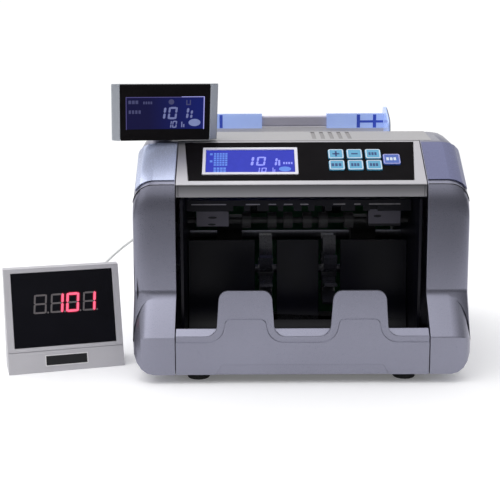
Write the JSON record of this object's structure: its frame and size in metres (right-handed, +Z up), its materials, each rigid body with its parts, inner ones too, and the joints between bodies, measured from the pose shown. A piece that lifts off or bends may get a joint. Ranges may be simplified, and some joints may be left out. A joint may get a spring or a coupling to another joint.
{
  "type": "banknote counter",
  "caption": "Desktop banknote counter: top hopper with sliding guides, tilted key panel, front stacker, swivelling display and a separate customer display on a cord.",
  "frame": {"origin": "on the floor, below the middle of the box round everything but the cord", "axes": "+X to the machine's right seen from its front, +Y from its front to its back, +Z up"},
  "size_m": [0.3494, 0.2859, 0.2132],
  "materials": {
    "housing_silver": "silver-grey moulded ABS with a satin metallic lacquer",
    "housing_light": "light grey moulded ABS, satin",
    "housing_display": "grey moulded ABS, fine matt texture",
    "trim_lavender": "glossy lavender-grey inlay",
    "black_plastic": "black moulded plastic",
    "overlay_black": "glossy black printed sheet",
    "screen_frame": "white frame round the screen",
    "screen_blue": "lit blue liquid-crystal screen",
    "screen_dark": "glossy black display glass",
    "key_light": "light blue rubber-dome key cap",
    "key_dark": "deeper blue rubber-dome key cap",
    "guide_clear": "tinted translucent acrylic",
    "rail_grey": "grey-violet plastic rail",
    "steel": "turned steel",
    "motor_can": "plated motor can",
    "core_iron": "laminated core with winding",
    "rubber_black": "black rubber",
    "board_green": "glass-fibre circuit board",
    "red_plastic": "red switch rocker",
    "roller_white": "white acetal roller",
    "wheel_dark": "dark flexible polymer",
    "cord_white": "white flexible PVC"
  },
  "bodies": {
    "machine": {"customer_display_housing": "housing_display", "customer_display_window": "screen_dark", "led_display_board": "board_green", "base_pan": "black_plastic", "foot_front_left": "rubber_black", "foot_front_right": "rubber_black", "foot_rear_left": "rubber_black", "foot_rear_right": "rubber_black", "right_side_cover": "housing_silver", "left_side_cover": "housing_silver", "right_shoulder_trim": "trim_lavender", "left_shoulder_trim": "trim_lavender", "front_stacker_cover": "housing_silver", "stacker_tray": "black_plastic", "control_head": "housing_light", "panel_overlay": "overlay_black", "lcd_frame": "screen_frame", "lcd_window": "screen_blue", "top_cover": "housing_light", "hopper_tray": "housing_light", "hopper_rail": "rail_grey", "rear_cover": "housing_silver", "power_inlet": "black_plastic", "display_port": "black_plastic", "right_frame_plate": "black_plastic", "left_frame_plate": "black_plastic", "drive_belt": "rubber_black", "pickup_belt": "rubber_black", "stacker_belt": "rubber_black", "drive_motor": "motor_can", "main_board": "board_green", "power_transformer": "core_iron", "upper_note_guide": "black_plastic", "cord_display_lead": "cord_white", "cord_machine_lead": "cord_white", "cord_coil": "cord_white", "cord_plug": "cord_white"},
    "swivel_display": {"swivel_neck": "black_plastic", "swivel_display_housing": "housing_light", "swivel_display_face": "screen_dark"},
    "right_guide": {"right_note_guide": "guide_clear"},
    "left_guide": {"left_note_guide": "guide_clear"},
    "rocker": {"power_rocker": "red_plastic"},
    "adjuster": {"thickness_knob": "black_plastic"},
    "feed_drive": {"feed_shaft": "steel", "feed_roller_left": "rubber_black", "feed_roller_right": "rubber_black"},
    "pickup_drive": {"pickup_shaft": "steel"},
    "stacker_drive": {"stacker_shaft": "steel", "stacker_wheel_left": "wheel_dark", "stacker_wheel_right": "wheel_dark"},
    "exit_rollers": {"exit_roller_shaft": "roller_white"},
    "motor_drive": {"motor_pulley": "steel"},
    "button_plus": {"key_plus": "key_light"},
    "button_minus": {"key_minus": "key_light"},
    "button_mode": {"key_mode": "key_light"},
    "button_add": {"key_add": "key_light"},
    "button_ultraviolet": {"key_ultraviolet": "key_light"},
    "button_magnetic": {"key_magnetic": "key_light"},
    "button_start": {"key_start": "key_dark"}
  },
  "joints": [
    {"name": "plus_press", "type": "slide", "parent": "machine", "child": "button_plus", "axis": [0, 0.5914, -0.8064], "range_m": [0, 0.0005], "stiffness_N_per_m": 600},
    {"name": "minus_press", "type": "slide", "parent": "machine", "child": "button_minus", "axis": [0, 0.5914, -0.8064], "range_m": [0, 0.0005], "stiffness_N_per_m": 600},
    {"name": "mode_press", "type": "slide", "parent": "machine", "child": "button_mode", "axis": [0, 0.5914, -0.8064], "range_m": [0, 0.0005], "stiffness_N_per_m": 600},
    {"name": "add_press", "type": "slide", "parent": "machine", "child": "button_add", "axis": [0, 0.5914, -0.8064], "range_m": [0, 0.0005], "stiffness_N_per_m": 600},
    {"name": "ultraviolet_press", "type": "slide", "parent": "machine", "child": "button_ultraviolet", "axis": [0, 0.5914, -0.8064], "range_m": [0, 0.0005], "stiffness_N_per_m": 600},
    {"name": "magnetic_press", "type": "slide", "parent": "machine", "child": "button_magnetic", "axis": [0, 0.5914, -0.8064], "range_m": [0, 0.0005], "stiffness_N_per_m": 600},
    {"name": "start_press", "type": "slide", "parent": "machine", "child": "button_start", "axis": [0, 0.5914, -0.8064], "range_m": [0, 0.0005], "stiffness_N_per_m": 600},
    {"name": "display_swivel", "type": "hinge", "parent": "machine", "child": "swivel_display", "pos_m": [-0.05233, -0.0507, 0.1715], "axis": [0, 0, 1], "range_deg": [-60, 10]},
    {"name": "right_guide_slide", "type": "slide", "parent": "machine", "child": "right_guide", "axis": [1, 0, 0], "range_m": [-0.025, 0.006]},
    {"name": "left_guide_slide", "type": "slide", "parent": "machine", "child": "left_guide", "axis": [-1, 0, 0], "range_m": [-0.025, 0.006]},
    {"name": "power_switch", "type": "hinge", "parent": "machine", "child": "rocker", "pos_m": [0.07267, 0.1193, 0.032], "axis": [1, 0, 0], "range_deg": [0, 16]},
    {"name": "thickness_adjust", "type": "hinge", "parent": "machine", "child": "adjuster", "pos_m": [0.05167, 0.0473, 0.171], "axis": [0, 0, 1], "range_deg": [-170, 170]},
    {"name": "feed_turn", "type": "hinge", "parent": "machine", "child": "feed_drive", "pos_m": [0.05167, -0.0067, 0.09], "axis": [1, 0, 0], "continuous": true},
    {"name": "pickup_turn", "type": "hinge", "parent": "machine", "child": "pickup_drive", "pos_m": [0.05167, 0.0183, 0.117], "axis": [1, 0, 0], "continuous": true},
    {"name": "stacker_turn", "type": "hinge", "parent": "machine", "child": "stacker_drive", "pos_m": [0.05167, -0.0347, 0.067], "axis": [1, 0, 0], "continuous": true},
    {"name": "motor_turn", "type": "hinge", "parent": "machine", "child": "motor_drive", "pos_m": [0.05167, 0.0673, 0.044], "axis": [1, 0, 0], "continuous": true},
    {"name": "exit_turn", "type": "hinge", "parent": "machine", "child": "exit_rollers", "pos_m": [0.05167, -0.0417, 0.107], "axis": [1, 0, 0], "continuous": true}
  ],
  "couplings": [
    {"joint": "pickup_turn", "follows": "feed_turn", "ratio": 1},
    {"joint": "stacker_turn", "follows": "feed_turn", "ratio": 0.6875},
    {"joint": "motor_turn", "follows": "feed_turn", "ratio": 1.5556}
  ]
}
